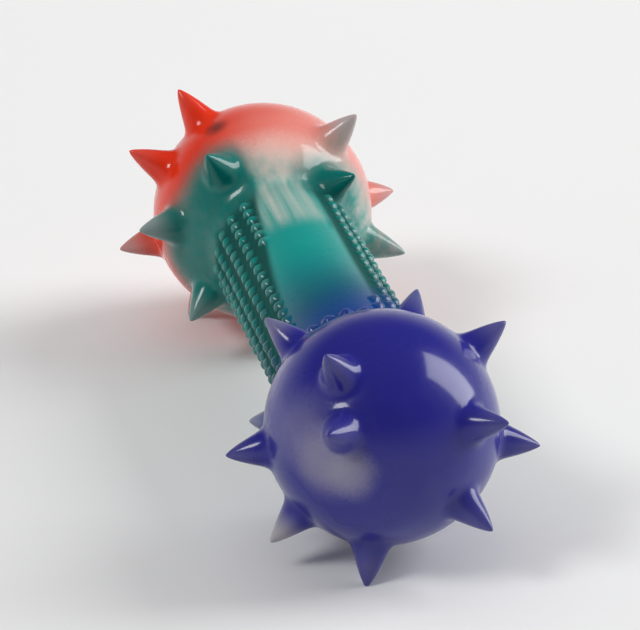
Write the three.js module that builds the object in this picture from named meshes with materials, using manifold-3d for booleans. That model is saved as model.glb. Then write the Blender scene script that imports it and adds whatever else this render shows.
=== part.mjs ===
// Squeaky dog toy: a spiked dumbbell of latex, moulded round one hollow, with a reed squeaker in one end.
// Millimetres, +Z up. It lies along X on four spike tips, with the blue ball at +X and the red one at -X.
// The origin is on the floor, under the middle of the grip.

import * as THREE from 'three';
import { mergeVertices } from 'three/addons/utils/BufferGeometryUtils.js';
import Module from 'manifold-3d';

const wasm = await Module();
wasm.setup();

// Latex skin
const BALL_RADIUS = 27;
const BALL_SPACING = 124;
const GRIP_RADIUS = 17;
const NECK_FILLET = 7;
const WALL = 2;

// Spikes on both balls
const SPIKE_HEIGHT = 9.7;
const SPIKE_RADIUS = 4.1;
const SPIKE_TIP_RADIUS = 0.5;
const SPIKE_FLARE = 2.4;
const SPIKE_FLARE_HEIGHT = 3.4;
const REST_LEAN = 32;
const REST_FLAT_DEPTH = 0.4;

// Nubs on the grip, in rows along it. One bare panel on top runs out into the red neck and ends before the blue.
// Its width is that at the middle of the grip, and its -Y edge slants by the taper, in degrees a millimetre.
const NUB_ROWS = 24;
const NUB_PITCH = 4.2;
const NUB_HEIGHT = 1;
const PANEL_CENTRE = -9;
const PANEL_WIDTH = 68;
const PANEL_TAPER = 0.48;
const PANEL_END_MARGIN = 4;

// Sprayed colour, over this length at each neck
const SPRAY_FADE = 11;

// Squeaker plug, a spool held by the rim of the hole in the red ball
const FIT_GAP = 0.3;
const SEAT_HOLE_RADIUS = 8.4;
const SEAT_LAND_MARGIN = 0.9;
const FLANGE_OVERLAP = 1.8;
const FLANGE_THICKNESS = 1.8;
const FLANGE_CHAMFER = 0.5;
const REAR_FLANGE_OVERLAP = 0.9;
const REAR_FLANGE_THICKNESS = 1.3;
const SOUND_HOLE_RADIUS = 1.6;
const FACE_GROOVE_INSET = 2.6;
const FACE_GROOVE_WIDTH = 1.2;
const FACE_GROOVE_DEPTH = 0.7;
const PLUG_FACE_WALL = 1.4;
const BOSS_WALL = 1.2;
const BOSS_LENGTH = 7;

// Reed unit, pushed into the back of the plug
const REED_TUBE_RADIUS = 5;
const REED_TUBE_WALL = 1;
const REED_TUBE_LIP = 0.8;
const REED_TUBE_TAIL = 4;
const COLLAR_HEIGHT = 1.2;
const COLLAR_LENGTH = 1.5;
const REED_SEAT_SETBACK = 2.5;
const REED_SEAT_SLOPE = 5;
const AIR_CHANNEL_WIDTH = 2;
const AIR_CHANNEL_DEPTH = 1.5;
const REED_THICKNESS = 0.25;
const REED_WIDTH = 4;
const REED_TIP_SETBACK = 2;
const REED_CLAMP_LENGTH = 3;

// Spike places: degrees from the ball's outer pole, then degrees round the axis, from the top towards +Y.
const BLUE_SPIKES = [
  [40, -55], [43, 63], [40, 128],
  [63, -32], [94, -97], [82, -131], [80, 99], [96, 54],
  [136, 35], [125, -48], [134, -107], [134, 85], [108, 122], [126, -158],
];
const RED_SPIKES = [
  [50, 76], [50, 122], [50, -175], [50, -128],
  [71, -32], [81, -62], [78, -106], [77, 92], [106, 37], [97, 137],
  [122, -36], [136, 41], [113, -82], [127, -127], [118, 102], [126, 160],
];
// Spikes that stand on the floor all lean alike. Their headings, seen from above, go from +X towards +Y.
const BLUE_RESTING = [-24, 140];
const RED_RESTING = [-119, 128];

// Facet counts
const SKIN_SEGMENTS = 2 * NUB_ROWS;
const BALL_STATIONS = 9;
const FILLET_STATIONS = 3;
const HOLLOW_SEGMENTS = 24;
const HOLLOW_STATIONS = 6;
const SPIKE_SEGMENTS = 10;
const FLARE_STATIONS = [0, 0.15, 0.5];
const PLUG_SEGMENTS = 32;
const REED_SEGMENTS = 24;

const BORE_OVERRUN = 1;
const MERGE_TOLERANCE = 1e-5;

const radians = THREE.MathUtils.degToRad;

// Places that follow from the sizes, along the toy's axis
const BALL_X = BALL_SPACING / 2;
const FLANGE_RADIUS = SEAT_HOLE_RADIUS + FLANGE_OVERLAP;
const LAND_RADIUS = FLANGE_RADIUS + SEAT_LAND_MARGIN;
const LAND_X = -BALL_X - Math.sqrt(BALL_RADIUS ** 2 - LAND_RADIUS ** 2);
const SPIKE_REACH = BALL_RADIUS + SPIKE_HEIGHT;
const AXIS_HEIGHT = SPIKE_REACH * Math.cos(radians(REST_LEAN)) - REST_FLAT_DEPTH;

const FLANGE_BACK_X = LAND_X - FIT_GAP;
const PLUG_FACE_X = FLANGE_BACK_X - FLANGE_THICKNESS;
const REAR_FLANGE_X = LAND_X + WALL + FIT_GAP;
const REAR_FLANGE_END_X = REAR_FLANGE_X + REAR_FLANGE_THICKNESS;
const BOSS_END_X = REAR_FLANGE_END_X + BOSS_LENGTH;
const REAR_FLANGE_RADIUS = SEAT_HOLE_RADIUS + REAR_FLANGE_OVERLAP;
const FACE_GROOVE_RADIUS = FLANGE_RADIUS - FACE_GROOVE_INSET;
const PLUG_BORE_RADIUS = REED_TUBE_RADIUS + FIT_GAP;
const BOSS_RADIUS = PLUG_BORE_RADIUS + BOSS_WALL;
const PLUG_BORE_X = PLUG_FACE_X + PLUG_FACE_WALL;

const COLLAR_X = BOSS_END_X + FIT_GAP;
const COLLAR_END_X = COLLAR_X + COLLAR_LENGTH;
const REED_TUBE_X = PLUG_BORE_X + FIT_GAP;
const REED_TUBE_END_X = COLLAR_END_X + REED_TUBE_TAIL;
const REED_BORE_RADIUS = REED_TUBE_RADIUS - REED_TUBE_WALL;
const REED_CORE_RADIUS = REED_BORE_RADIUS - FIT_GAP;
const REED_SEAT_X = REED_TUBE_X + REED_TUBE_LIP + FIT_GAP;
const REED_SEAT_END_X = REED_TUBE_END_X - REED_SEAT_SETBACK;
const REED_TIP_X = REED_SEAT_END_X - REED_TIP_SETBACK;
const REED_CLAMP_END_X = REED_SEAT_X + REED_CLAMP_LENGTH;
const REED_SEAT_TOP = -REED_THICKNESS / 2 - FIT_GAP;
const REED_WEDGE_BOTTOM = REED_THICKNESS / 2 + FIT_GAP;

// A closed three.js geometry as a solid that can be joined and cut.
function toSolid(geometry) {
  const bare = new THREE.BufferGeometry();
  bare.setAttribute('position', geometry.getAttribute('position'));
  bare.setIndex(geometry.getIndex());
  const merged = mergeVertices(bare, MERGE_TOLERANCE);
  const corners = merged.getIndex().array;
  const triangles = [];
  for (let i = 0; i < corners.length; i += 3) {
    const [a, b, c] = corners.subarray(i, i + 3);
    if (a !== b && b !== c && c !== a) triangles.push(a, b, c);
  }
  const vertProperties = merged.getAttribute('position').array;
  const triVerts = Uint32Array.from(triangles);
  return new wasm.Manifold(new wasm.Mesh({ numProp: 3, vertProperties, triVerts }));
}

function toGeometry(solid) {
  const { vertProperties, triVerts } = solid.getMesh();
  const geometry = new THREE.BufferGeometry();
  geometry.setAttribute('position', new THREE.BufferAttribute(vertProperties, 3));
  geometry.setIndex(new THREE.BufferAttribute(triVerts, 1));
  geometry.computeVertexNormals();
  return geometry;
}

// A revolve about the toy's axis. Its profile is a list of [x along the axis, radius], with x rising.
function revolve(profile, segments) {
  const points = profile.map(([x, radius]) => new THREE.Vector2(radius, x));
  return new THREE.LatheGeometry(points, segments).rotateZ(-Math.PI / 2);
}

function disc(fromX, toX, radius, segments) {
  return toSolid(revolve([[fromX, 0], [fromX, radius], [toX, radius], [toX, 0]], segments));
}

// Points on a circular arc in the profile's plane, angles from +X towards the radius.
function arc(centreX, centreRadius, radius, fromAngle, toAngle, stations) {
  const points = [];
  for (let i = 0; i <= stations; i += 1) {
    const angle = fromAngle + (toAngle - fromAngle) * i / stations;
    points.push([centreX + radius * Math.cos(angle), centreRadius + radius * Math.sin(angle)]);
  }
  return points;
}

// Half of the dumbbell's outline, set in from the outer face: the ball, the neck's fillet and the grip.
// Returns points from the ball's pole to the grip, for the ball at +X, and where the straight grip ends.
function halfOutline(inset, poleAngle, ballStations) {
  const ball = BALL_RADIUS - inset;
  const grip = GRIP_RADIUS - inset;
  const fillet = NECK_FILLET + inset;
  const filletRadius = grip + fillet;
  const filletX = BALL_X - Math.sqrt((ball + fillet) ** 2 - filletRadius ** 2);
  const meeting = Math.atan2(filletRadius, filletX - BALL_X);
  const ballArc = arc(BALL_X, 0, ball, poleAngle, meeting, ballStations);
  const neckArc = arc(filletX, filletRadius, fillet, meeting - Math.PI, -Math.PI / 2, FILLET_STATIONS);
  return { points: [...ballArc, ...neckArc.slice(1)], gripEnd: filletX };
}

const mirrored = (points) => points.map(([x, radius]) => [-x, radius]);

// The red ball's outline, which stops at the flat land round the squeaker's hole.
function redOutline(inset, landX, ballStations) {
  const ball = BALL_RADIUS - inset;
  const landAngle = Math.acos((-landX - BALL_X) / ball);
  return [[landX, 0], ...mirrored(halfOutline(inset, landAngle, ballStations).points)];
}

// The outer face: a revolve whose grip carries rows of pointed nubs, apart from the bare panel on top.
function outerFace() {
  const blue = halfOutline(0, 0, BALL_STATIONS);
  const straight = 2 * blue.gripEnd;
  const nubsPerRow = Math.floor(straight / NUB_PITCH);
  const halfPitch = straight / (2 * nubsPerRow);
  const red = redOutline(0, LAND_X, BALL_STATIONS);
  const gripStations = [];
  for (let i = 1; i < 2 * nubsPerRow; i += 1) {
    gripStations.push([i * halfPitch - blue.gripEnd, GRIP_RADIUS]);
  }
  const profile = [...red, ...gripStations, ...blue.points.reverse()];
  const geometry = revolve(profile, SKIN_SEGMENTS);

  const position = geometry.getAttribute('position');
  const panelEnd = blue.gripEnd - PANEL_END_MARGIN;
  const raise = 1 + NUB_HEIGHT / GRIP_RADIUS;
  for (let row = 1; row < SKIN_SEGMENTS; row += 2) {
    const turn = 360 * row / SKIN_SEGMENTS + PANEL_CENTRE;
    const fromPanel = THREE.MathUtils.euclideanModulo(turn + 180, 360) - 180;
    for (let nub = 0; nub < nubsPerRow; nub += 1) {
      const vertex = row * profile.length + red.length + 2 * nub;
      const x = position.getX(vertex);
      const slant = fromPanel > 0 ? PANEL_TAPER * x : 0;
      const across = fromPanel / (PANEL_WIDTH / 2 + slant);
      const along = Math.max(0, x) / panelEnd;
      if (across ** 4 + along ** 4 < 1) continue;
      position.setY(vertex, position.getY(vertex) * raise);
      position.setZ(vertex, position.getZ(vertex) * raise);
    }
  }
  return toSolid(geometry);
}

// One spike about +Y, measured from the ball's centre: a straight cone on a flared foot, with a blunt tip.
function spikeGeometry() {
  const foot = SPIKE_RADIUS + SPIKE_FLARE;
  const footY = Math.sqrt(BALL_RADIUS ** 2 - foot ** 2);
  const tipY = SPIKE_REACH - SPIKE_TIP_RADIUS;
  const points = [[0, footY - WALL], [foot, footY - WALL]];
  for (const share of FLARE_STATIONS) {
    const y = footY + share * SPIKE_FLARE_HEIGHT;
    const cone = THREE.MathUtils.mapLinear(y, footY, tipY, SPIKE_RADIUS, SPIKE_TIP_RADIUS);
    points.push([cone + SPIKE_FLARE * (1 - share) ** 3, y]);
  }
  points.push([SPIKE_TIP_RADIUS, tipY], [0, SPIKE_REACH]);
  const outline = points.map(([radius, y]) => new THREE.Vector2(radius, y));
  return new THREE.LatheGeometry(outline, SPIKE_SEGMENTS);
}

// Directions of a ball's spikes, with its outer pole towards side, which is +1 for blue and -1 for red.
function spikeDirections(side, places, restingHeadings) {
  const free = places.map(([fromPole, round]) => new THREE.Vector3(
    side * Math.cos(radians(fromPole)),
    Math.sin(radians(fromPole)) * Math.sin(radians(round)),
    Math.sin(radians(fromPole)) * Math.cos(radians(round)),
  ));
  const lean = radians(REST_LEAN);
  const resting = restingHeadings.map((heading) => new THREE.Vector3(
    Math.sin(lean) * Math.cos(radians(heading)),
    Math.sin(lean) * Math.sin(radians(heading)),
    -Math.cos(lean),
  ));
  return [...free, ...resting];
}

function withSpikes(skin, side, places, restingHeadings) {
  const up = new THREE.Vector3(0, 1, 0);
  let result = skin;
  for (const direction of spikeDirections(side, places, restingHeadings)) {
    const spike = spikeGeometry();
    spike.applyQuaternion(new THREE.Quaternion().setFromUnitVectors(up, direction));
    spike.translate(side * BALL_X, 0, 0);
    result = result.add(toSolid(spike));
  }
  return result;
}

// The air space: the outline set in by the wall, flat behind the squeaker's land.
function hollow() {
  const blue = halfOutline(WALL, 0, HOLLOW_STATIONS).points.reverse();
  const red = redOutline(WALL, LAND_X + WALL, HOLLOW_STATIONS);
  return toSolid(revolve([...red, ...blue], HOLLOW_SEGMENTS));
}

function latexSkin() {
  let skin = outerFace();
  skin = withSpikes(skin, 1, BLUE_SPIKES, BLUE_RESTING);
  skin = withSpikes(skin, -1, RED_SPIKES, RED_RESTING);
  skin = skin.subtract(hollow());
  const holeEndX = LAND_X + WALL + BORE_OVERRUN;
  skin = skin.subtract(disc(LAND_X - BORE_OVERRUN, holeEndX, SEAT_HOLE_RADIUS, PLUG_SEGMENTS));
  const underFloor = new THREE.BoxGeometry(2 * BALL_SPACING, BALL_SPACING, BALL_SPACING);
  underFloor.translate(0, 0, -AXIS_HEIGHT - BALL_SPACING / 2);
  return toGeometry(skin.subtract(toSolid(underFloor)));
}

// A spool that the rim of the skin sits in. Its face has a ring groove round the sound hole.
function squeakerPlug() {
  const waist = SEAT_HOLE_RADIUS - FIT_GAP;
  let plug = toSolid(revolve([
    [PLUG_FACE_X, 0],
    [PLUG_FACE_X, FLANGE_RADIUS - FLANGE_CHAMFER],
    [PLUG_FACE_X + FLANGE_CHAMFER, FLANGE_RADIUS],
    [FLANGE_BACK_X, FLANGE_RADIUS],
    [FLANGE_BACK_X, waist],
    [REAR_FLANGE_X, waist],
    [REAR_FLANGE_X, REAR_FLANGE_RADIUS],
    [REAR_FLANGE_END_X, REAR_FLANGE_RADIUS - FLANGE_CHAMFER],
    [REAR_FLANGE_END_X, BOSS_RADIUS],
    [BOSS_END_X, BOSS_RADIUS],
    [BOSS_END_X, 0],
  ], PLUG_SEGMENTS));
  const grooveFloorX = PLUG_FACE_X + FACE_GROOVE_DEPTH;
  const grooveInside = FACE_GROOVE_RADIUS - FACE_GROOVE_WIDTH;
  const groove = disc(PLUG_FACE_X - BORE_OVERRUN, grooveFloorX, FACE_GROOVE_RADIUS, PLUG_SEGMENTS);
  const island = disc(PLUG_FACE_X, grooveFloorX + BORE_OVERRUN, grooveInside, PLUG_SEGMENTS);
  plug = plug.subtract(groove.subtract(island));
  plug = plug.subtract(disc(PLUG_BORE_X, BOSS_END_X + BORE_OVERRUN, PLUG_BORE_RADIUS, PLUG_SEGMENTS));
  plug = plug.subtract(disc(PLUG_FACE_X - BORE_OVERRUN, BOSS_END_X, SOUND_HOLE_RADIUS, REED_SEGMENTS));
  return toGeometry(plug);
}

// A tube with a collar that stops on the plug's boss and a lip that stops the seat at the sound hole's end.
function reedTube() {
  const collarRadius = REED_TUBE_RADIUS + COLLAR_HEIGHT;
  let tube = toSolid(revolve([
    [REED_TUBE_X, 0],
    [REED_TUBE_X, REED_TUBE_RADIUS],
    [COLLAR_X, REED_TUBE_RADIUS],
    [COLLAR_X, collarRadius],
    [COLLAR_END_X, collarRadius],
    [COLLAR_END_X, REED_TUBE_RADIUS],
    [REED_TUBE_END_X, REED_TUBE_RADIUS],
    [REED_TUBE_END_X, 0],
  ], REED_SEGMENTS));
  const boreX = REED_TUBE_X + REED_TUBE_LIP;
  tube = tube.subtract(disc(boreX, REED_TUBE_END_X + BORE_OVERRUN, REED_BORE_RADIUS, REED_SEGMENTS));
  const mouthRadius = REED_BORE_RADIUS - REED_TUBE_LIP;
  const mouth = disc(REED_TUBE_X - BORE_OVERRUN, REED_TUBE_END_X, mouthRadius, REED_SEGMENTS);
  return toGeometry(tube.subtract(mouth));
}

// A side view, [x, z] points, drawn across the toy's width.
function acrossWidth(points, width) {
  const shape = new THREE.Shape(points.map(([x, z]) => new THREE.Vector2(x, z)));
  const geometry = new THREE.ExtrudeGeometry(shape, { depth: width, bevelEnabled: false });
  return geometry.translate(0, 0, -width / 2).rotateX(Math.PI / 2);
}

// A half-round core. Its flat top falls away from the reed past the clamp, over an air channel.
function reedSeat() {
  const core = disc(REED_SEAT_X, REED_SEAT_END_X, REED_CORE_RADIUS, REED_SEGMENTS);
  const width = 2 * REED_TUBE_RADIUS;
  const pastX = REED_SEAT_END_X + BORE_OVERRUN;
  const fall = (pastX - REED_CLAMP_END_X) * Math.tan(radians(REED_SEAT_SLOPE));
  const below = toSolid(acrossWidth([
    [REED_SEAT_X - BORE_OVERRUN, -width],
    [pastX, -width],
    [pastX, REED_SEAT_TOP - fall],
    [REED_CLAMP_END_X, REED_SEAT_TOP],
    [REED_SEAT_X - BORE_OVERRUN, REED_SEAT_TOP],
  ], width));
  const channelLength = REED_SEAT_END_X - REED_SEAT_X;
  const channel = new THREE.BoxGeometry(channelLength, AIR_CHANNEL_WIDTH, 2 * AIR_CHANNEL_DEPTH);
  channel.translate(REED_TIP_X - channelLength / 2, 0, REED_SEAT_TOP);
  return toGeometry(core.intersect(below).subtract(toSolid(channel)));
}

function reedStrip() {
  const reed = new THREE.BoxGeometry(REED_TIP_X - REED_SEAT_X, REED_WIDTH, REED_THICKNESS);
  return reed.translate((REED_SEAT_X + REED_TIP_X) / 2, 0, 0);
}

// A half-round plug that holds the reed's root down on the seat.
function reedWedge() {
  const core = disc(REED_SEAT_X, REED_CLAMP_END_X, REED_CORE_RADIUS, REED_SEGMENTS);
  const width = 2 * REED_TUBE_RADIUS;
  const above = new THREE.BoxGeometry(2 * (REED_TUBE_END_X - REED_TUBE_X), width, width);
  above.translate(REED_TUBE_X, 0, REED_WEDGE_BOTTOM + width / 2);
  return toGeometry(core.intersect(toSolid(above)));
}

// The sprayed colours, as stops along the toy's axis: red, pale at the red neck, teal, then blue.
const NECK_X = BALL_X - BALL_RADIUS;
const SPRAY = [
  [-BALL_X, '#d83a24'],
  [-NECK_X, '#d9cfc6'],
  [-NECK_X + SPRAY_FADE, '#0c8f80'],
  [NECK_X - SPRAY_FADE, '#0d7a8c'],
  [NECK_X + SPRAY_FADE, '#33288c'],
];

function sprayed(geometry) {
  const position = geometry.getAttribute('position');
  const colours = new Float32Array(3 * position.count);
  for (let i = 0; i < position.count; i += 1) {
    const x = THREE.MathUtils.clamp(position.getX(i), SPRAY[0][0], SPRAY.at(-1)[0]);
    const next = Math.max(1, SPRAY.findIndex(([stop]) => stop >= x));
    const [[fromX, from], [toX, to]] = SPRAY.slice(next - 1, next + 1);
    const mix = new THREE.Color(from).lerp(new THREE.Color(to), (x - fromX) / (toX - fromX));
    mix.toArray(colours, 3 * i);
  }
  geometry.setAttribute('color', new THREE.BufferAttribute(colours, 3));
  return geometry;
}

function piece(name, geometry, material) {
  const mesh = new THREE.Mesh(geometry, new THREE.MeshStandardMaterial({ metalness: 0, ...material }));
  mesh.name = name;
  return mesh;
}

const toy = new THREE.Group();
toy.add(
  piece('latex_skin', sprayed(latexSkin()), { vertexColors: true, roughness: 0.25 }),
  piece('squeaker_plug', squeakerPlug(), { color: '#e6e0d2', roughness: 0.4 }),
  piece('reed_tube', reedTube(), { color: '#e6e0d2', roughness: 0.4 }),
  piece('reed_seat', reedSeat(), { color: '#d8d2c4', roughness: 0.5 }),
  piece('reed', reedStrip(), { color: '#b99a4a', roughness: 0.3, metalness: 1 }),
  piece('reed_wedge', reedWedge(), { color: '#d8d2c4', roughness: 0.5 }),
);
toy.position.z = AXIS_HEIGHT;

const group = new THREE.Group();
group.add(toy);

export default group;
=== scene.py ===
import math
import random
from collections import namedtuple

import bpy
from bpy.props import FloatProperty, FloatVectorProperty, IntProperty, PointerProperty
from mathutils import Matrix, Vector, noise


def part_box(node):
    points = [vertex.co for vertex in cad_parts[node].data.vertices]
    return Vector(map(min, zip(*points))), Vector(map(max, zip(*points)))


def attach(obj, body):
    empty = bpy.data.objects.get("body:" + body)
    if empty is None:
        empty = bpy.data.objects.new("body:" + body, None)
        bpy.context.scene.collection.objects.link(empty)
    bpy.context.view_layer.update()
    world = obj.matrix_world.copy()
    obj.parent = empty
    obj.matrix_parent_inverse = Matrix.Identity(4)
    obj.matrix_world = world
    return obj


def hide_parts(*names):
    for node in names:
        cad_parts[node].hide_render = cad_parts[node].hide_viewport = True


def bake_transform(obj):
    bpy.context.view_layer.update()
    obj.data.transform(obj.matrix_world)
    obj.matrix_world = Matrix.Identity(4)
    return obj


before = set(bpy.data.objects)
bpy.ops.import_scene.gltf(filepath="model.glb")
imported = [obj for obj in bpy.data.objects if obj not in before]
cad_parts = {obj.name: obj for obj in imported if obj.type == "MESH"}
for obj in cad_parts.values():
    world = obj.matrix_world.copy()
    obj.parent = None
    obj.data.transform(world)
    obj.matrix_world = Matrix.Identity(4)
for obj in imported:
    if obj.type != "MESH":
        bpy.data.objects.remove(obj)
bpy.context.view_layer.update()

bl_info = {
    "name": "Spiked Dumbbell Dog Toy",
    "version": (1, 0, 0),
    "blender": (4, 5, 0),
    "location": "View3D > Sidebar > Dog Toy",
    "description": "Builds a sprayed latex dumbbell with spikes, grip nubs and a reed squeaker",
    "category": "Object",
}

PLUG_LOW, PLUG_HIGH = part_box("squeaker_plug")
TUBE_LOW, TUBE_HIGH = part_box("reed_tube")
AXIS_HEIGHT = (PLUG_LOW.z + PLUG_HIGH.z) / 2

# Spikes: degrees from the ball's outer pole, degrees round the axis from the top towards +Y,
# how bare the spray left the tip, and how much green overspray it caught.
BLUE_SPIKES = (
    (40, -55, 0.05, 0), (43, 63, 0.1, 0), (40, 128, 0.1, 0), (63, -32, 0.1, 0), (94, -97, 0.1, 0),
    (82, -131, 0.85, 0), (80, 99, 0.1, 0), (96, 54, 0.15, 0), (136, 35, 0.2, 0), (125, -48, 0.35, 0),
    (134, -107, 0.3, 0), (134, 85, 0.3, 0), (108, 122, 0.2, 0), (126, -158, 0.3, 0),
)
RED_SPIKES = (
    (50, 76, 0.5, 0), (50, 122, 0.4, 0), (50, -175, 0.5, 0), (50, -128, 0.3, 0), (71, -32, 0.05, 0),
    (81, -62, 0.1, 0), (78, -106, 0.5, 0.25), (77, 92, 0.4, 0), (106, 37, 0.85, 0.15), (97, 137, 0.5, 0),
    (122, -36, 0, 1), (136, 41, 0, 1), (113, -82, 0.6, 0.5), (127, -127, 0.35, 0.7),
    (118, 102, 0.6, 0.1), (126, 160, 0.7, 0.3),
)
# Spikes that stand on the floor: degrees seen from above, from +X towards +Y, then bareness and overspray.
BLUE_RESTING = ((-24, 0.1, 0), (140, 0.2, 0))
RED_RESTING = ((-119, 0.45, 0.35), (128, 0.5, 0.1))
# Spots on the blue ball that the spray hardly reached: direction from its centre, radius and how much is
# missing.
MISSED_SPOTS = (
    ((0.73, -0.67, 0.12), 0.0115, 0.34),
    ((0.87, -0.48, 0.03), 0.0075, 0.34),
    ((0.50, -0.81, 0.32), 0.0125, 0.20),
)
# A dark spot beside a spike's foot on the red ball, from the ball's centre
DARK_SPOT_PLACE = (0.001, -0.0118, 0.0243)
DARK_SPOT_RADIUS = 0.0045
DARK_SPOT_STRENGTH = 0.7
# Spots of green round the spikes that caught all the overspray
GREEN_SPOT_RADIUS = 0.0125
# Lamps: direction from the toy, distance, width and height, watts, and whether the toy mirrors them
LAMPS = (
    ("side_softbox", (-0.04, 0.86, 0.51), 4.0, (2.0, 3.4), 150, True),
    ("overhead_fill", (-0.3, -0.1, 1.0), 2.2, (3.2, 3.2), 25, False),
    ("left_softbox", (0.19, -0.66, 0.71), 4.0, (1.3, 1.1), 62, True),
)
# The floor lies just under the tips, the camera's sensor is in millimetres, and it sees this many metres
FLOOR_DROP = 0.0001
SENSOR_WIDTH = 36
VIEW_DEPTH = 20
# A Mix node's sockets for colours, which have the same names as its sockets for numbers
MIX_FIRST, MIX_SECOND, MIX_RESULT = 6, 7, 2

# Stations along the skin's outline, on a ball, a neck and the grip, and along the small arcs
OUTER_STATIONS = (72, 14, 48)
INNER_STATIONS = (18, 4, 6)
RIM_STATIONS = 16
EDGE_STATIONS = 6
# Edges that turn by more than this stay sharp
SHARP_EDGE = math.radians(35)
SHARP_RAISED_EDGE = math.radians(80)
# The unevenness has this many waves a metre, and sets in over this length from the squeaker's rim
UNEVEN_WAVES = 48
UNEVEN_START = 0.012
# Smaller radii than this count as on the axis
ON_AXIS = 1e-6

# A raised point's rings crowd towards its tip, its flare dies out at its foot, the foot's edge sinks a
# little into the surface, and the cap that closes it lies deeper, inside the wall.
RING_POWER = 1.4
FLARE_POWER = 6.0
EDGE_POWER = 10.0
EDGE_SINK = 0.000012
CAP_DEPTH = 0.0008
CAP_SHORTER = 0.5
PAST_FOOT = 1.0001
MERGE_DISTANCE = 0.0001
# Rays that look for the surface start this far from the centre under a point
RAY_REACH = 0.05

SPIKE_SEED = 11
NUB_SEED = 5
# How square the end of the bare panel is
PANEL_SQUARENESS = 4


def length(name, description, default):
    """A length that a user can change."""
    return FloatProperty(name=name, description=description, default=default, unit="LENGTH", precision=5)


def turn(name, description, degrees):
    """An angle that a user can change."""
    return FloatProperty(name=name, description=description, default=math.radians(degrees), subtype="ANGLE")


def share(name, description, default):
    """A share from 0 to 1 that a user can change."""
    return FloatProperty(name=name, description=description, default=default, min=0, max=1,
                         subtype="FACTOR")


def count(name, description, default, least=3):
    """A whole number that a user can change."""
    return IntProperty(name=name, description=description, default=default, min=least)


def colour(name, description, default):
    """A linear colour that a user can change."""
    return FloatVectorProperty(name=name, description=description, default=default, size=3, min=0, max=1,
                               subtype="COLOR")


class SkinSizes(bpy.types.PropertyGroup):
    """Sizes of the latex moulding."""

    ball_radius: length("Ball radius", "Radius of both balls without their spikes", 0.027)
    ball_spacing: length("Ball spacing", "Distance between the centres of the balls", 0.124)
    grip_radius: length("Grip radius", "Radius of the grip without its nubs", 0.017)
    neck_fillet: length("Neck fillet", "Radius that joins the grip to each ball", 0.007)
    wall: length("Wall", "Thickness of the latex", 0.002)
    rim_radius: length("Rim radius", "Outer radius of the soft rim round the squeaker", 0.015)
    land_radius: length("Land radius", "Radius of the flat that the squeaker sits on", 0.0111)
    hole_radius: length("Hole radius", "Radius of the squeaker's hole in the latex", 0.0084)
    unevenness: length("Unevenness", "How far the hand-poured latex strays from true", 0.00022)
    segments: count("Segments", "Facets round the axis", 160)


class SpikeSizes(bpy.types.PropertyGroup):
    """Sizes of the spikes on the balls."""

    height: length("Height", "Height of a spike above its ball", 0.0097)
    base_radius: length("Base radius", "Radius of the cone where it meets the ball", 0.0040)
    tip_rounding: length("Tip rounding", "Radius of the blunt tip", 0.00035)
    foot_softness: length("Foot softness", "How far the foot of a spike flares", 0.0016)
    foot_radius: length("Foot radius", "Radius where the flare runs out into the ball", 0.0078)
    rest_lean: turn("Rest lean", "Lean from straight down of the spikes that the toy stands on", 32)
    spread: share("Spread", "Chance differences in height between spikes", 0.05)
    rings: count("Rings", "Rings of facets from tip to foot", 16)
    cap_rings: count("Cap rings", "Rings of facets on the hidden underside of a spike", 2, least=1)
    segments: count("Segments", "Facets round a spike", 40)


class NubSizes(bpy.types.PropertyGroup):
    """Sizes of the nubs on the grip and of the bare panel."""

    rows: count("Rows", "Rows of nubs round the grip", 24)
    pitch: length("Pitch", "Spacing of the nubs along a row", 0.0042)
    height: length("Height", "Height of a nub", 0.0011)
    base_radius: length("Base radius", "Radius of a nub", 0.00145)
    tip_rounding: length("Tip rounding", "Radius of a nub's top", 0.0011)
    foot_softness: length("Foot softness", "How far a nub's foot flares", 0.00016)
    foot_radius: length("Foot radius", "Radius where a nub runs out into the grip", 0.0020)
    panel_centre: turn("Panel centre", "Middle of the bare panel, from the top towards +Y", -9)
    panel_width: turn("Panel width", "Width of the bare panel round the middle of the grip", 68)
    panel_taper: turn("Panel taper", "Turn of the panel's -Y edge for a metre along the grip", 480)
    panel_end_margin: length("Panel end margin", "Length of nubs from the panel to the blue neck", 0.004)
    spread: share("Spread", "Chance differences in height between nubs", 0.12)
    bareness: share("Bareness", "How bare the spray left the barest nubs", 0.1)
    rings: count("Rings", "Rings of facets on a nub", 5)
    cap_rings: count("Cap rings", "Rings of facets on the hidden underside of a nub", 1, least=1)
    segments: count("Segments", "Facets round a nub", 9)


class PlugSizes(bpy.types.PropertyGroup):
    """Sizes of the squeaker plug and the reed tube."""

    fit_gap: length("Fit gap", "Gap between pieces that fit together", 0.0003)
    flange_thickness: length("Flange thickness", "Thickness of the plug's face flange", 0.0018)
    rear_flange_thickness: length("Rear flange thickness", "Thickness of the inner flange", 0.0013)
    rear_flange_radius: length("Rear flange radius", "Radius of the inner flange", 0.0093)
    edge_rounding: length("Edge rounding", "Rounding of the plug's edges", 0.0005)
    groove_radius: length("Groove radius", "Outer radius of the ring groove in the face", 0.0076)
    groove_width: length("Groove width", "Width of the ring groove", 0.0012)
    groove_depth: length("Groove depth", "Depth of the ring groove", 0.0007)
    sound_hole_radius: length("Sound hole radius", "Radius of the sound hole", 0.0016)
    face_wall: length("Face wall", "Thickness of the plug's face over its bore", 0.0014)
    boss_wall: length("Boss wall", "Wall of the boss that holds the reed tube", 0.0012)
    tube_radius: length("Tube radius", "Outer radius of the reed tube", 0.005)
    tube_wall: length("Tube wall", "Wall of the reed tube", 0.001)
    tube_lip: length("Tube lip", "Lip that stops the reed seat", 0.0008)
    collar_length: length("Collar length", "Length of the tube's collar", 0.0015)
    collar_tail: length("Collar tail", "Length of tube past its collar", 0.004)
    segments: count("Segments", "Facets round the plug and tube", 96)


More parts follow.
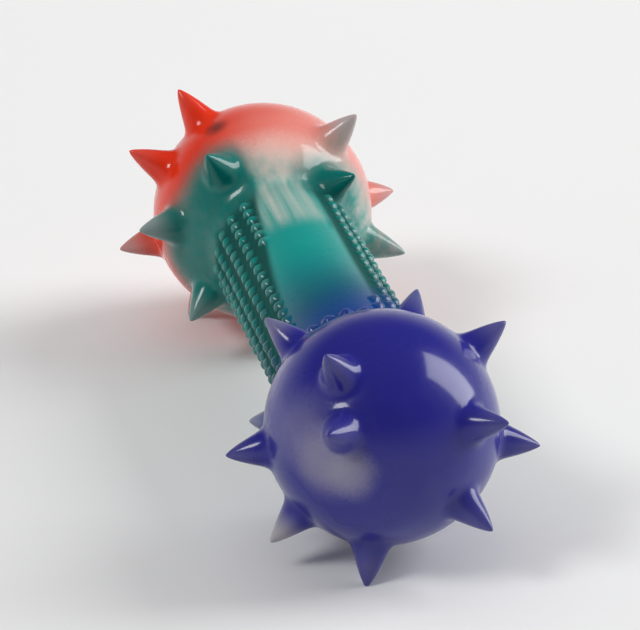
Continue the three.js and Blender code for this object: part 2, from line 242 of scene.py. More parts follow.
class ToyColours(bpy.types.PropertyGroup):
    """Colours of the spray, the plastic and the reed."""

    latex: colour("Bare latex", "Latex that the spray left bare", (0.83, 0.70, 0.63))
    red: colour("Red spray", "Spray on the squeaker's ball", (0.73, 0.030, 0.006))
    teal: colour("Teal spray", "Spray on the grip's bare panel", (0.0, 0.30, 0.265))
    deep_teal: colour("Deep teal", "The panel's spray towards the blue neck", (0.001, 0.085, 0.15))
    green: colour("Green spray", "Spray among the nubs", (0.0, 0.09, 0.078))
    flank_green: colour("Flank green", "Spray beside the red neck and on its spikes", (0.0, 0.153, 0.134))
    blue: colour("Blue spray", "Spray at the blue neck", (0.004, 0.04, 0.26))
    indigo: colour("Indigo spray", "Spray on the blue ball", (0.019, 0.018, 0.22))
    bare_tip: colour("Bare tip", "Spots and tips that the spray missed", (0.42, 0.40, 0.40))
    # Painted shade: this colour darkens the grip between the nubs, where shade falls, and it also paints
    # the dark spot beside one spike on the red ball.
    painted_shade_and_dark_spot: colour("Soot", "Dirt between the nubs and beside one spike", (0.018, 0.02, 0.02))
    plug: colour("Plug", "Moulded plastic of the plug", (0.72, 0.68, 0.58))
    reed_plastic: colour("Reed plastic", "Moulded plastic of the reed unit", (0.62, 0.58, 0.49))
    brass: colour("Brass", "The reed", (0.72, 0.5, 0.2))


class StageSettings(bpy.types.PropertyGroup):
    """The floor, the lamps and the camera."""

    floor_size: length("Floor size", "Side of the floor", 3.0)
    floor: colour("Floor", "The pale floor", (0.8, 0.8, 0.8))
    walls: colour("Walls", "The studio's walls at the horizon", (0.68, 0.68, 0.68))
    ceiling: colour("Ceiling", "The studio's dark ceiling", (0.06, 0.06, 0.06))
    azimuth: turn("Azimuth", "The camera's heading round the toy", 76.8)
    elevation: turn("Elevation", "The camera's height above the horizon", 25)
    distance: length("Distance", "From the camera to the middle of the toy", 1.3)
    field: length("Field", "Width of the view at the toy", 0.152)


class ToySettings(bpy.types.PropertyGroup):
    """Everything that a user can change on the toy."""

    skin: PointerProperty(type=SkinSizes, name="Skin", description="Latex moulding")
    spikes: PointerProperty(type=SpikeSizes, name="Spikes", description="Spikes on the balls")
    nubs: PointerProperty(type=NubSizes, name="Nubs", description="Nubs on the grip")
    plug: PointerProperty(type=PlugSizes, name="Plug", description="Squeaker plug and reed tube")
    colours: PointerProperty(type=ToyColours, name="Colours", description="Colours of the toy")
    stage: PointerProperty(type=StageSettings, name="Stage", description="Floor, lamps and camera")


class Wire:
    """A node's output that is used in sums like a number."""

    def __init__(self, sheet, socket):
        self.sheet = sheet
        self.socket = socket

    def __add__(self, other):
        return self.sheet.maths("ADD", self, other)

    def __radd__(self, other):
        return self.sheet.maths("ADD", other, self)

    def __sub__(self, other):
        return self.sheet.maths("SUBTRACT", self, other)

    def __rsub__(self, other):
        return self.sheet.maths("SUBTRACT", other, self)

    def __mul__(self, other):
        return self.sheet.maths("MULTIPLY", self, other)

    def __rmul__(self, other):
        return self.sheet.maths("MULTIPLY", other, self)

    def __truediv__(self, other):
        return self.sheet.maths("DIVIDE", self, other)

    def __pow__(self, other):
        return self.sheet.maths("POWER", self, other)


class Sheet:
    """A node tree that is written as sums and calls."""

    def __init__(self, tree):
        self.tree = tree

    def node(self, kind, settings=None, sockets=None):
        """Adds a node, sets it up, and feeds its sockets with numbers or wires."""
        made = self.tree.nodes.new(kind)
        for name, value in (settings or {}).items():
            setattr(made, name, value)
        for key, value in (sockets or {}).items():
            self.feed(made.inputs[key], value)
        return made

    def feed(self, socket, value):
        if isinstance(value, Wire):
            value = value.socket
        if isinstance(value, bpy.types.NodeSocket):
            self.tree.links.new(value, socket)
        else:
            socket.default_value = value

    def wire(self, kind, settings=None, sockets=None, output=0):
        return Wire(self, self.node(kind, settings, sockets).outputs[output])

    def maths(self, operation, *values):
        return self.wire("ShaderNodeMath", {"operation": operation}, dict(enumerate(values)))

    def vectors(self, operation, *values, output="Vector"):
        return self.wire("ShaderNodeVectorMath", {"operation": operation}, dict(enumerate(values)), output)

    def scaled(self, vector, factor):
        return self.wire("ShaderNodeVectorMath", {"operation": "SCALE"}, {0: vector, "Scale": factor})

    def split(self, vector):
        made = self.node("ShaderNodeSeparateXYZ", sockets={0: vector})
        return [Wire(self, socket) for socket in made.outputs]

    def smooth(self, value, low, high):
        """0 at low, 1 at high, whichever is larger, and a smooth step between them."""
        sockets = {"Value": value, "From Min": low, "From Max": high}
        return self.wire("ShaderNodeMapRange", {"interpolation_type": "SMOOTHSTEP"}, sockets)

    def mix(self, factor, first, second):
        """A colour between two colours."""
        sockets = {0: factor, MIX_FIRST: rgba(first), MIX_SECOND: rgba(second)}
        return self.wire("ShaderNodeMix", {"data_type": "RGBA"}, sockets, output=MIX_RESULT)

    def place(self):
        """Where on the piece a point lies."""
        return self.wire("ShaderNodeTexCoord", output="Object")

    def bumps(self, height, strength, depth):
        """A normal for fine relief."""
        sockets = {"Strength": strength, "Distance": depth, "Height": height}
        return self.wire("ShaderNodeBump", sockets=sockets)

    def cloud(self, place, scale, detail):
        """Noise about zero."""
        sockets = {"Vector": place, "Scale": scale, "Detail": detail}
        return self.wire("ShaderNodeTexNoise", sockets=sockets) - 0.5

    def stretched(self, place, scale):
        return self.wire("ShaderNodeMapping", sockets={"Vector": place, "Scale": scale})

    def attribute(self, name):
        return self.wire("ShaderNodeAttribute", {"attribute_name": name}, output="Fac")


def rgba(value):
    """A colour property as a socket's value. Wires pass through."""
    return value if isinstance(value, Wire) else (*value, 1.0)


def toy():
    """The toy's settings."""
    return bpy.context.scene.dog_toy


def ball_centre(side):
    """The centre of the blue ball, on side 1, or of the red ball, on side -1."""
    return Vector((side * toy().skin.ball_spacing / 2, 0, AXIS_HEIGHT))


def new_material(name):
    """A material with its sheet and its shader."""
    material = bpy.data.materials.new(name)
    material.use_nodes = True
    shader = material.node_tree.nodes["Principled BSDF"]
    return material, Sheet(material.node_tree), shader


def shared_material(recipe):
    """The material that has its recipe's name, made on first use."""
    name = recipe.__name__
    return bpy.data.materials.get(name) or recipe(name)


def dimmed(tint, share_kept):
    """A colour with this share of its light."""
    return [share_kept * channel for channel in tint]


def set_shader(sheet, shader, sockets):
    for key, value in sockets.items():
        sheet.feed(shader.inputs[key], value)


class Spray:
    """What every coat of spray reads: places on the toy, noise for ragged edges, and raised points. The
    necks are where the balls would begin without their fillets."""

    def __init__(self, sheet):
        self.sheet = sheet
        self.neck = toy().skin.ball_spacing / 2 - toy().skin.ball_radius
        self.place = sheet.place()
        self.along, self.across, self.height = sheet.split(self.place)
        self.patches = sheet.cloud(self.place, scale=42, detail=3)
        self.grain = sheet.cloud(self.place, scale=1500, detail=2)
        self.tip = sheet.attribute("tip")
        self.from_panel = self.across_panel(toy().nubs)
        past_neck = sheet.smooth(self.along, low=-self.neck - 0.007, high=-self.neck + 0.005)
        self.panel = sheet.smooth(self.from_panel, low=1.1, high=0.85) * past_neck

    def across_panel(self, nubs):
        """How far round the axis from the middle of the bare panel, as a share of its half width there."""
        sheet = self.sheet
        turned = sheet.maths("ARCTAN2", self.across, self.height - AXIS_HEIGHT) - nubs.panel_centre
        slant = sheet.maths("MAXIMUM", self.along, -self.neck - 0.005) * nubs.panel_taper
        half = sheet.maths("LESS_THAN", turned, 0.0) * slant + nubs.panel_width / 2
        return sheet.maths("ABSOLUTE", turned) / half

    def ragged(self, patchy, grainy):
        """The place along the axis, which strays by these lengths."""
        return self.along + self.patches * patchy + self.grain * grainy

    def spot(self, centre, radius):
        """1 at a spot's centre, fading raggedly to 0 at its radius."""
        away = self.sheet.vectors("DISTANCE", self.place, centre, output="Value")
        strayed = away + self.patches * radius + self.grain * (radius * 0.2)
        return self.sheet.smooth(strayed, low=radius, high=radius * 0.1)


def sprayed_latex(name):
    """Glossy latex, sprayed red, teal and blue along the axis, bare at the red neck and on some tips."""
    colours = toy().colours
    material, sheet, shader = new_material(name)
    spray = Spray(sheet)
    skin = blue_spray(spray, teal_spray(spray, red_spray(spray)))
    overspray = sheet.attribute("overspray") * sheet.smooth(spray.tip, low=0.0, high=0.2)
    skin = sheet.mix(overspray, skin, colours.flank_green)
    bare = sheet.attribute("bare") * sheet.smooth(spray.tip + spray.patches * 0.3, low=0.12, high=0.8)
    skin = sheet.mix(bare, skin, colours.bare_tip)

    from_middle = sheet.maths("ABSOLUTE", spray.along)
    on_grip = sheet.smooth(from_middle, low=spray.neck + 0.007, high=spray.neck + 0.001)
    # Painted shade: between the nubs the colour is mixed a quarter of the way towards a dark colour. The
    # valleys are also rougher and lose their coat.
    valley = on_grip * (1 - spray.panel) * sheet.smooth(spray.tip, low=0.6, high=0.1)
    waves = sheet.cloud(spray.place, scale=85, detail=2)
    ripples = sheet.cloud(spray.place, scale=420, detail=2)
    set_shader(sheet, shader, {
        "Base Color": sheet.mix(valley * 0.25, skin, colours.painted_shade_and_dark_spot),
        "Roughness": 0.28 + spray.patches * 0.2 + bare * 0.12 + valley * 0.4,
        "Normal": sheet.bumps(waves + ripples * 0.16, strength=0.3, depth=0.0006),
        "Subsurface Weight": 0.1,
        "Subsurface Radius": (1.0, 0.55, 0.4),
        "Subsurface Scale": 0.002,
        "Specular IOR Level": 0.12,
        "Coat Weight": 0.55 - valley * 0.55,
        "Coat Roughness": 0.11,
    })
    return material


def red_spray(spray):
    """Red over bare latex on the squeaker's ball, sprayed from its outer side, so it thins at the neck. It
    is paler on top and towards +Y, partly from thin spray and partly as painted sheen from the side lamp. A
    dark spot lies beside a spike."""
    sheet = spray.sheet
    colours = toy().colours
    neck = spray.neck
    centre = ball_centre(-1)
    # Partly painted sheen: the red is thinned towards the top and +Y, the side lamp's side. This is partly
    # for thin spray and partly to paint in the lamp's pale sheen.
    deep_red_side = Vector((-0.62, -0.7, -0.35)).normalized() / toy().skin.ball_radius
    outwards = sheet.vectors("SUBTRACT", spray.place, centre)
    facing = sheet.vectors("DOT_PRODUCT", outwards, deep_red_side, output="Value")
    least_red = 0.68
    full = sheet.smooth(facing + spray.patches * 0.5, low=-0.8, high=0.2)
    thickness = least_red + full * (1 - least_red)
    ragged = spray.ragged(patchy=0.012, grainy=0.0035)
    cover = sheet.smooth(ragged, low=-neck - 0.004, high=-neck - 0.021) * thickness
    skin = sheet.mix(cover, colours.latex, colours.red)
    # The colour is darkened in a spot beside a spike's foot.
    dark_spot = spray.spot(centre + Vector(DARK_SPOT_PLACE), DARK_SPOT_RADIUS) * DARK_SPOT_STRENGTH
    return sheet.mix(dark_spot, skin, colours.painted_shade_and_dark_spot)


def teal_spray(spray, skin):
    """Bright teal on the grip's panel, and as a painted highlight towards the tops of raised points, dark
    green elsewhere. It starts on the red ball's flank, but over the panel it starts later, at a masked
    edge. A thin streaked haze lies before it."""
    sheet = spray.sheet
    colours = toy().colours
    neck = spray.neck
    ragged = spray.ragged(patchy=0.008, grainy=0.003)
    runs = sheet.cloud(sheet.stretched(spray.place, (16, 420, 420)), scale=1, detail=3)
    outwards = sheet.maths("ABSOLUTE", spray.across) * 0.3
    streaks = 0.74 + runs * 1.2
    haze = sheet.smooth(ragged + outwards, low=-neck - 0.014, high=-neck - 0.003) * streaks
    skin = sheet.mix(haze, skin, colours.teal)

    masked = sheet.smooth(spray.from_panel + spray.patches * 0.7 + spray.grain * 0.1, low=1.15, high=0.6)
    below = sheet.smooth(ragged - runs * 0.003, low=-neck + 0.0125, high=-neck + 0.0225)
    on_flank = sheet.smooth(ragged - spray.across * 0.27, low=-neck - 0.0175, high=-neck - 0.0075)
    on_grip = sheet.smooth(spray.along, low=-neck - 0.006, high=-neck + 0.002)
    flank_share = 0.92
    beside = on_flank * flank_share + on_grip * (1 - flank_share)
    cover = masked * below + (1 - masked) * beside

    to_blue = sheet.smooth(ragged, low=neck - 0.043, high=neck - 0.005)
    bright = sheet.mix(to_blue, colours.teal, colours.deep_teal)
    on_ball = sheet.smooth(spray.along, low=-neck + 0.001, high=-neck - 0.007)
    dark = sheet.mix(on_ball, colours.green, colours.flank_green)
    # Painted highlight: raised points are mixed towards bright teal towards their tops, as if they caught
    # more light; on the bare panel the bright teal is the spray's own colour.
    panel_or_painted_highlight = sheet.maths("MAXIMUM", spray.panel, spray.tip * 0.7)
    skin = sheet.mix(cover, skin, sheet.mix(panel_or_painted_highlight, dark, bright))
    for from_pole, turned, _, overspray in RED_SPIKES:
        if overspray == 1:
            foot = ball_centre(-1) + spike_direction(-1, from_pole, turned) * toy().skin.ball_radius
            skin = sheet.mix(spray.spot(foot, GREEN_SPOT_RADIUS), skin, colours.flank_green)
    return skin


def blue_spray(spray, skin):
    """Blue from the second neck on, darker and faintly mottled on the ball, with spots between its spikes
    that the spray hardly reached."""
    sheet = spray.sheet
    colours = toy().colours
    neck = spray.neck
    ragged = spray.ragged(patchy=0.01, grainy=0.003)
    on_ball = sheet.smooth(ragged, low=neck - 0.004, high=neck + 0.012)
    ball = sheet.mix(on_ball, colours.blue, colours.indigo)
    slanted = ragged + spray.across * 0.35
    skin = sheet.mix(sheet.smooth(slanted, low=neck - 0.019, high=neck + 0.005), skin, ball)
    past_neck = sheet.smooth(ragged, low=neck - 0.005, high=neck + 0.010)
    mottles = past_neck * sheet.smooth(spray.patches, low=0.02, high=0.3)
    skin = sheet.mix(mottles * 0.05, skin, colours.bare_tip)
    off_spikes = sheet.smooth(spray.tip, low=0.15, high=0.0)
    for direction, radius, missing in MISSED_SPOTS:
        missed = spray.spot(ball_centre(1) + Vector(direction) * toy().skin.ball_radius, radius)
        skin = sheet.mix(missed * off_spikes * missing, skin, colours.bare_tip)
    return skin


def moulded_plastic(name, tint):
    """Satin moulded plastic with flow marks."""
    material, sheet, shader = new_material(name)
    place = sheet.place()
    flow = sheet.cloud(place, scale=260, detail=3)
    grain = sheet.cloud(place, scale=2600, detail=2)
    set_shader(sheet, shader, {
        "Base Color": sheet.mix(sheet.smooth(flow, low=-0.25, high=0.25), dimmed(tint, 0.82), tint),
        "Roughness": 0.42 + flow * 0.2,
        "Normal": sheet.bumps(grain, strength=0.2, depth=0.0001),
        "Subsurface Weight": 0.08,
        "Subsurface Scale": 0.001,
    })
    return material


def plug_plastic(name):
    return moulded_plastic(name, toy().colours.plug)


def reed_plastic(name):
    return moulded_plastic(name, toy().colours.reed_plastic)


def reed_brass(name):
    """Rolled brass, with fine lines along the strip."""
    material, sheet, shader = new_material(name)
    place = sheet.place()
    lines = sheet.cloud(sheet.stretched(place, (120, 5200, 5200)), scale=1, detail=2)
    tarnish = sheet.cloud(place, scale=420, detail=3)
    brass = toy().colours.brass
    set_shader(sheet, shader, {
        "Base Color": sheet.mix(sheet.smooth(tarnish, low=-0.2, high=0.15), dimmed(brass, 0.6), brass),
        "Metallic": 1.0,
        "Roughness": 0.3 + lines * 0.25,
        "Normal": sheet.bumps(lines, strength=0.1, depth=0.00005),
    })
    return material


def pale_floor(name):
    """A pale, slightly mottled floor."""
    material, sheet, shader = new_material(name)
    place = sheet.place()
    mottles = sheet.smooth(sheet.cloud(place, scale=3, detail=2), low=-0.2, high=0.2)
    floor = toy().stage.floor
    set_shader(sheet, shader, {
        "Base Color": sheet.mix(mottles, dimmed(floor, 0.985), floor),
        "Roughness": 0.9,
        "Specular IOR Level": 0.1,
    })
    return material


def add_object(name, mesh, recipe):
    """A new object at the origin, with the recipe's material."""
    made = bpy.data.objects.new(name, mesh)
    bpy.context.scene.collection.objects.link(made)
    mesh.materials.append(shared_material(recipe))
    return made


def arc(centre_x, centre_radius, radius, start, end, stations):
    """Points on a circular arc in the profile's plane, with angles from +X towards the radius."""
    angles = [start + (end - start) * i / stations for i in range(stations + 1)]
    return [(centre_x + radius * math.cos(a), centre_radius + radius * math.sin(a)) for a in angles]


def half_outline(sizes, inset, pole_angle, ball_stations, fillet_stations):
    """Half of the dumbbell's outline, from near the pole of the ball at +X to the straight grip."""
    ball = sizes.ball_radius - inset
    fillet = sizes.neck_fillet + inset
    fillet_radius = sizes.grip_radius + sizes.neck_fillet
    ball_x = sizes.ball_spacing / 2
    fillet_x = ball_x - math.sqrt((ball + fillet) ** 2 - fillet_radius ** 2)
    meeting = math.atan2(fillet_radius, fillet_x - ball_x)
    on_ball = arc(ball_x, 0, ball, pole_angle, meeting, ball_stations)
    on_neck = arc(fillet_x, fillet_radius, fillet, meeting - math.pi, -math.pi / 2, fillet_stations)
    return on_ball + on_neck[1:]


def grip_end(sizes):
    """Where the straight grip ends, from the middle of the toy."""
    outline = half_outline(sizes, inset=0, pole_angle=0, ball_stations=1, fillet_stations=1)
    return outline[-1][0]


def whole_outline(sizes, inset, rim_angle, ball_stations, fillet_stations, grip_stations):
    """The outline from the squeaker's rim on the red ball to the blue ball's pole."""
    red = half_outline(sizes, inset, rim_angle, ball_stations, fillet_stations)
    blue = half_outline(sizes, inset, 0, ball_stations, fillet_stations)[::-1]
    start, end = -red[-1][0], blue[0][0]
    radius = blue[0][1]
    grip = [(start + (end - start) * i / grip_stations, radius) for i in range(1, grip_stations)]
    return [(-x, r) for x, r in red] + grip + blue


def revolved(name, profile, segments, recipe, closed=False, stray=0.0):
    """An object turned about the toy's axis. Its profile is a list of (x, radius), and its faces point out
    where x rises along the profile. A closed profile joins its last point to its first."""
    points = []
    rings = []
    for x, radius in profile:
        if radius < ON_AXIS:
            rings.append([len(points)] * segments)
            points.append(Vector((x, 0, AXIS_HEIGHT)))
            continue
        rings.append(list(range(len(points), len(points) + segments)))
        for k in range(segments):
            angle = 2 * math.pi * k / segments
            points.append(Vector((x, radius * math.sin(angle), AXIS_HEIGHT + radius * math.cos(angle))))
    if stray:
        points = [p + uneven(p, stray) for p in points]
    faces = []
    pairs = list(zip(rings, rings[1:]))
    if closed:
        pairs.append((rings[-1], rings[0]))
    for here, there in pairs:
        for k in range(segments):
            corners = (here[k], there[k], there[(k + 1) % segments], here[(k + 1) % segments])
            faces.append(tuple(dict.fromkeys(corners)))
    mesh = bpy.data.meshes.new(name)
    mesh.from_pydata(points, [], faces)
    mesh.shade_smooth()
    mesh.set_sharp_from_angle(angle=SHARP_EDGE)
    return add_object(name, mesh, recipe)


def uneven(point, stray):
    """A small push from or towards the axis, none near the squeaker, so that its seat stays true."""
    away = Vector((0, point.y, point.z - AXIS_HEIGHT))
    if away.length < ON_AXIS:
        return away
    settle = min(1, max(0, (point.x - rim_x(toy().skin.rim_radius)) / UNEVEN_START))
    return away.normalized() * (stray * settle * noise.noise(point * UNEVEN_WAVES))


def rim_x(radius):
    """The place along the axis where the red ball's outer side has this radius."""
    sizes = toy().skin
    return -sizes.ball_spacing / 2 - math.sqrt(sizes.ball_radius ** 2 - radius ** 2)


class DOGTOY_OT_latex_body(bpy.types.Operator):
    """Makes the balls, the necks and the grip as one hollow skin."""

    bl_idname = "dogtoy.latex_body"
    bl_label = "Latex Body"

    def execute(self, context):
        sizes = toy().skin
        rim_angle = math.asin(sizes.rim_radius / sizes.ball_radius)
        outer = whole_outline(sizes, 0, rim_angle, *OUTER_STATIONS)
        inner = whole_outline(sizes, sizes.wall, rim_angle, *INNER_STATIONS)
        profile = inner[::-1] + outer
        body = revolved("latex_body", profile, sizes.segments, sprayed_latex, stray=sizes.unevenness)
        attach(body, "skin")
        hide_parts("latex_skin")
        return {"FINISHED"}


# Inputs of the nodes that raise spikes and nubs, by their kind
RAISED_LENGTHS = ("Height", "Base Radius", "Tip Rounding", "Foot Softness", "Foot Radius", "Surface Radius")
RAISED_INPUTS = {
    "NodeSocketGeometry": ("Geometry",),
    "NodeSocketObject": ("Surface",),
    "NodeSocketMaterial": ("Material",),
    "NodeSocketFloat": RAISED_LENGTHS,
    "NodeSocketInt": ("Rings", "Cap Rings", "Segments"),
}


def raised_points_tree(name):
    """Geometry nodes that raise one blunt cone with a flared foot on a surface, for each point."""
    tree = bpy.data.node_groups.new(name, "GeometryNodeTree")
    for kind, labels in RAISED_INPUTS.items():
        for label in labels:
            tree.interface.new_socket(label, in_out="INPUT", socket_type=kind)
    tree.interface.new_socket("Geometry", in_out="OUTPUT", socket_type="NodeSocketGeometry")
    sheet = Sheet(tree)
    inputs = sheet.node("NodeGroupInput").outputs
    given = {socket.name: Wire(sheet, socket) for socket in inputs if socket.name}
    cone = raised_cone(sheet, given)
    direction = stored(sheet, "direction", "FLOAT_VECTOR")
    facing = sheet.wire("FunctionNodeAlignRotationToVector", {"axis": "Z"}, {"Vector": direction})
    copies = sheet.wire("GeometryNodeInstanceOnPoints", sockets={
        "Points": given["Geometry"], "Instance": cone, "Rotation": facing,
    })
    copies = sheet.wire("GeometryNodeRealizeInstances", sockets={"Geometry": copies})
    place = seated_position(sheet, given["Surface"], given["Surface Radius"])
    seated = sheet.wire("GeometryNodeSetPosition", sockets={"Geometry": copies, "Position": place})
    seated = sheet.wire("GeometryNodeSetShadeSmooth", sockets={0: seated})
    seated = sheet.wire("GeometryNodeSetMaterial", sockets={0: seated, "Material": given["Material"]})
    sheet.node("NodeGroupOutput", sockets={0: seated})
    return tree


def raised_cone(sheet, given):
    """One cone as directions from the centre under it, with its rise and its share of the height stored. A
    cap under the surface closes it. Its directions are shorter, so that merging keeps it off the cone."""
    rings = given["Rings"]
    cap_rings = given["Cap Rings"]
    foot = given["Foot Radius"]
    height = given["Height"]
    softness = given["Foot Softness"]
    rounding = given["Tip Rounding"]
    grid = sheet.wire("GeometryNodeMeshGrid", sockets={
        "Size X": 1.0,
        "Size Y": 1.0,
        "Vertices X": rings + cap_rings + 1,
        "Vertices Y": given["Segments"] + 1,
    })
    x, y, _ = sheet.split(sheet.wire("GeometryNodeInputPosition"))
    down = (x + 0.5) * (rings + cap_rings) / rings
    under = sheet.maths("GREATER_THAN", down, PAST_FOOT)
    out = foot * down ** RING_POWER
    run = sheet.maths("SQRT", out * out + rounding * rounding) - rounding
    drop = height - run * height / given["Base Radius"]
    soft = softness * sheet.maths("LOGARITHM", sheet.maths("EXPONENT", drop / softness) + 1.0, math.e)
    ending = 1 - sheet.maths("MINIMUM", down ** FLARE_POWER, 1.0)
    rise = soft * ending * ending - down ** EDGE_POWER * EDGE_SINK - under * CAP_DEPTH
    closing = foot * (rings + cap_rings - down * rings) / cap_rings
    lean = (out * (1 - under) + closing * under) / given["Surface Radius"]
    spin = (y + 0.5) * (2 * math.pi)
    reach = 1 - under * CAP_SHORTER
    flat = sheet.maths("SINE", lean) * reach
    aim = sheet.wire("ShaderNodeCombineXYZ", sockets={
        "X": flat * sheet.maths("COSINE", spin),
        "Y": flat * sheet.maths("SINE", spin),
        "Z": sheet.maths("COSINE", lean) * reach,
    })
    for label, value in (("rise", rise), ("tip", rise / height)):
        grid = sheet.wire("GeometryNodeStoreNamedAttribute", {"data_type": "FLOAT", "domain": "POINT"},
                          {"Geometry": grid, "Name": label, "Value": value})
    cone = sheet.wire("GeometryNodeSetPosition", sockets={"Geometry": grid, "Position": aim})
    return sheet.wire("GeometryNodeMergeByDistance", sockets={0: cone, "Distance": MERGE_DISTANCE})


def stored(sheet, name, kind="FLOAT"):
    """A value that each point carries."""
    return sheet.wire("GeometryNodeInputNamedAttribute", {"data_type": kind}, {"Name": name})


def seated_position(sheet, surface, radius):
    """Each direction's place on the surface plus its rise, never under the floor. Over the squeaker's rim,
    which is another object, the surface is taken at its radius."""
    centre = stored(sheet, "centre", "FLOAT_VECTOR")
    away = sheet.vectors("SUBTRACT", sheet.wire("GeometryNodeInputPosition"), centre)
    aim = sheet.vectors("NORMALIZE", away)
    target = sheet.wire("GeometryNodeObjectInfo", sockets={"Object": surface}, output="Geometry")
    hit = sheet.node("GeometryNodeRaycast", sockets={
        "Target Geometry": target,
        "Source Position": sheet.vectors("ADD", centre, sheet.scaled(aim, RAY_REACH)),
        "Ray Direction": sheet.scaled(aim, -1.0),
        "Ray Length": RAY_REACH,
    })
    found = Wire(sheet, hit.outputs["Is Hit"])
    ground = found * (RAY_REACH - Wire(sheet, hit.outputs["Hit Distance"])) + (1 - found) * radius
    lift = ground + stored(sheet, "rise") * stored(sheet, "stretch")
    x, y, z = sheet.split(sheet.vectors("ADD", centre, sheet.scaled(aim, lift)))
    above_floor = sheet.maths("MAXIMUM", z, 0.0)
    return sheet.wire("ShaderNodeCombineXYZ", sockets={"X": x, "Y": y, "Z": above_floor})


# A cone: the centre under it, its direction from there, its share of the usual height, and how bare and how
# oversprayed its tip is
RaisedPoint = namedtuple("RaisedPoint", "centre direction stretch bare overspray")


def raised_points(name, points, inputs):
    """Makes a piece with one cone for each point."""
    mesh = bpy.data.meshes.new(name)
    mesh.from_pydata([point.centre for point in points], [], [])
    for label in ("centre", "direction"):
        values = [axis for point in points for axis in getattr(point, label)]
        mesh.attributes.new(label, "FLOAT_VECTOR", "POINT").data.foreach_set("vector", values)
    for label in ("stretch", "bare", "overspray"):
        values = [float(getattr(point, label)) for point in points]
        mesh.attributes.new(label, "FLOAT", "POINT").data.foreach_set("value", values)
    made = add_object(name, mesh, sprayed_latex)
    tree = bpy.data.node_groups.get("raised_points") or raised_points_tree("raised_points")
    modifier = made.modifiers.new("raised_points", "NODES")
    modifier.node_group = tree
    latex = shared_material(sprayed_latex)
    inputs = {**inputs, "Surface": bpy.data.objects["latex_body"], "Material": latex}
    for item in tree.interface.items_tree:
        if item.in_out == "INPUT" and item.name in inputs:
            modifier[item.identifier] = inputs[item.name]
    evaluated = made.evaluated_get(bpy.context.evaluated_depsgraph_get())
    made.data = bpy.data.meshes.new_from_object(evaluated)
    made.data.name = name
    made.data.set_sharp_from_angle(angle=SHARP_RAISED_EDGE)
    made.modifiers.clear()
    for label in ("centre", "direction", "stretch", "rise"):
        made.data.attributes.remove(made.data.attributes[label])
    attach(made, "skin")


def spike_direction(side, from_pole, turned):
    """A spike's direction from its ball's centre, for a ball whose outer pole is towards side along X."""
    pole, round_axis = math.radians(from_pole), math.radians(turned)
    return Vector((
        side * math.cos(pole),
        math.sin(pole) * math.sin(round_axis),
        math.sin(pole) * math.cos(round_axis),
    ))


def spike_points(sizes, side, places, resting):
    """Points for one ball's spikes. The ball's outer pole is towards side, +1 for blue and -1 for red."""
    chance = random.Random(SPIKE_SEED + side)
    points = []
    for from_pole, turned, bare, overspray in places:
        stretch = 1 + chance.uniform(-sizes.spread, sizes.spread)
        direction = spike_direction(side, from_pole, turned)
        points.append(RaisedPoint(ball_centre(side), direction, stretch, bare, overspray))
    for heading, bare, overspray in resting:
        headed = math.radians(heading)
        direction = Vector((
            math.sin(sizes.rest_lean) * math.cos(headed),
            math.sin(sizes.rest_lean) * math.sin(headed),
            -math.cos(sizes.rest_lean),
        ))
        points.append(RaisedPoint(ball_centre(side), direction, 1.0, bare, overspray))
    return points


def cone_inputs(sizes, surface_radius):
    """The geometry nodes' inputs for spikes or nubs of these sizes."""
    return {
        "Height": sizes.height,
        "Base Radius": sizes.base_radius,
        "Tip Rounding": sizes.tip_rounding,
        "Foot Softness": sizes.foot_softness,
        "Foot Radius": sizes.foot_radius,
        "Surface Radius": surface_radius,
        "Rings": sizes.rings,
        "Cap Rings": sizes.cap_rings,
        "Segments": sizes.segments,
    }


class DOGTOY_OT_spikes(bpy.types.Operator):
    """Raises the spikes on both balls."""

    bl_idname = "dogtoy.spikes"
    bl_label = "Spikes"

    def execute(self, context):
        sizes = toy().spikes
        points = spike_points(sizes, 1, BLUE_SPIKES, BLUE_RESTING)
        points += spike_points(sizes, -1, RED_SPIKES, RED_RESTING)
        raised_points("latex_spikes", points, cone_inputs(sizes, toy().skin.ball_radius))
        return {"FINISHED"}


def nub_points(sizes, skin):
    """Points for the grip's nubs, in rows along it, with none on the bare panel."""
    chance = random.Random(NUB_SEED)
    half = grip_end(skin)
    per_row = int(2 * half / sizes.pitch)
    pitch = 2 * half / per_row
    points = []
    for row in range(sizes.rows):
        turned = 2 * math.pi * (row + 0.5) / sizes.rows
        direction = Vector((0, math.sin(turned), math.cos(turned)))
        from_panel = (turned - sizes.panel_centre + math.pi) % (2 * math.pi) - math.pi
        for nub in range(per_row):
            x = (nub + 0.5) * pitch - half
            slant = x * sizes.panel_taper if from_panel < 0 else 0
            across = from_panel / (sizes.panel_width / 2 + slant)
            along = max(0, x) / (half - sizes.panel_end_margin)
            if across ** PANEL_SQUARENESS + along ** PANEL_SQUARENESS < 1:
                continue
            stretch = 1 + chance.uniform(-sizes.spread, sizes.spread)
            bare = chance.uniform(0, sizes.bareness)
            points.append(RaisedPoint(Vector((x, 0, AXIS_HEIGHT)), direction, stretch, bare, 0))
    return points


class DOGTOY_OT_nubs(bpy.types.Operator):
    """Raises the rows of nubs on the grip."""

    bl_idname = "dogtoy.nubs"
    bl_label = "Grip Nubs"

    def execute(self, context):
        sizes = toy().nubs
        skin = toy().skin
        raised_points("grip_nubs", nub_points(sizes, skin), cone_inputs(sizes, skin.grip_radius))
        return {"FINISHED"}


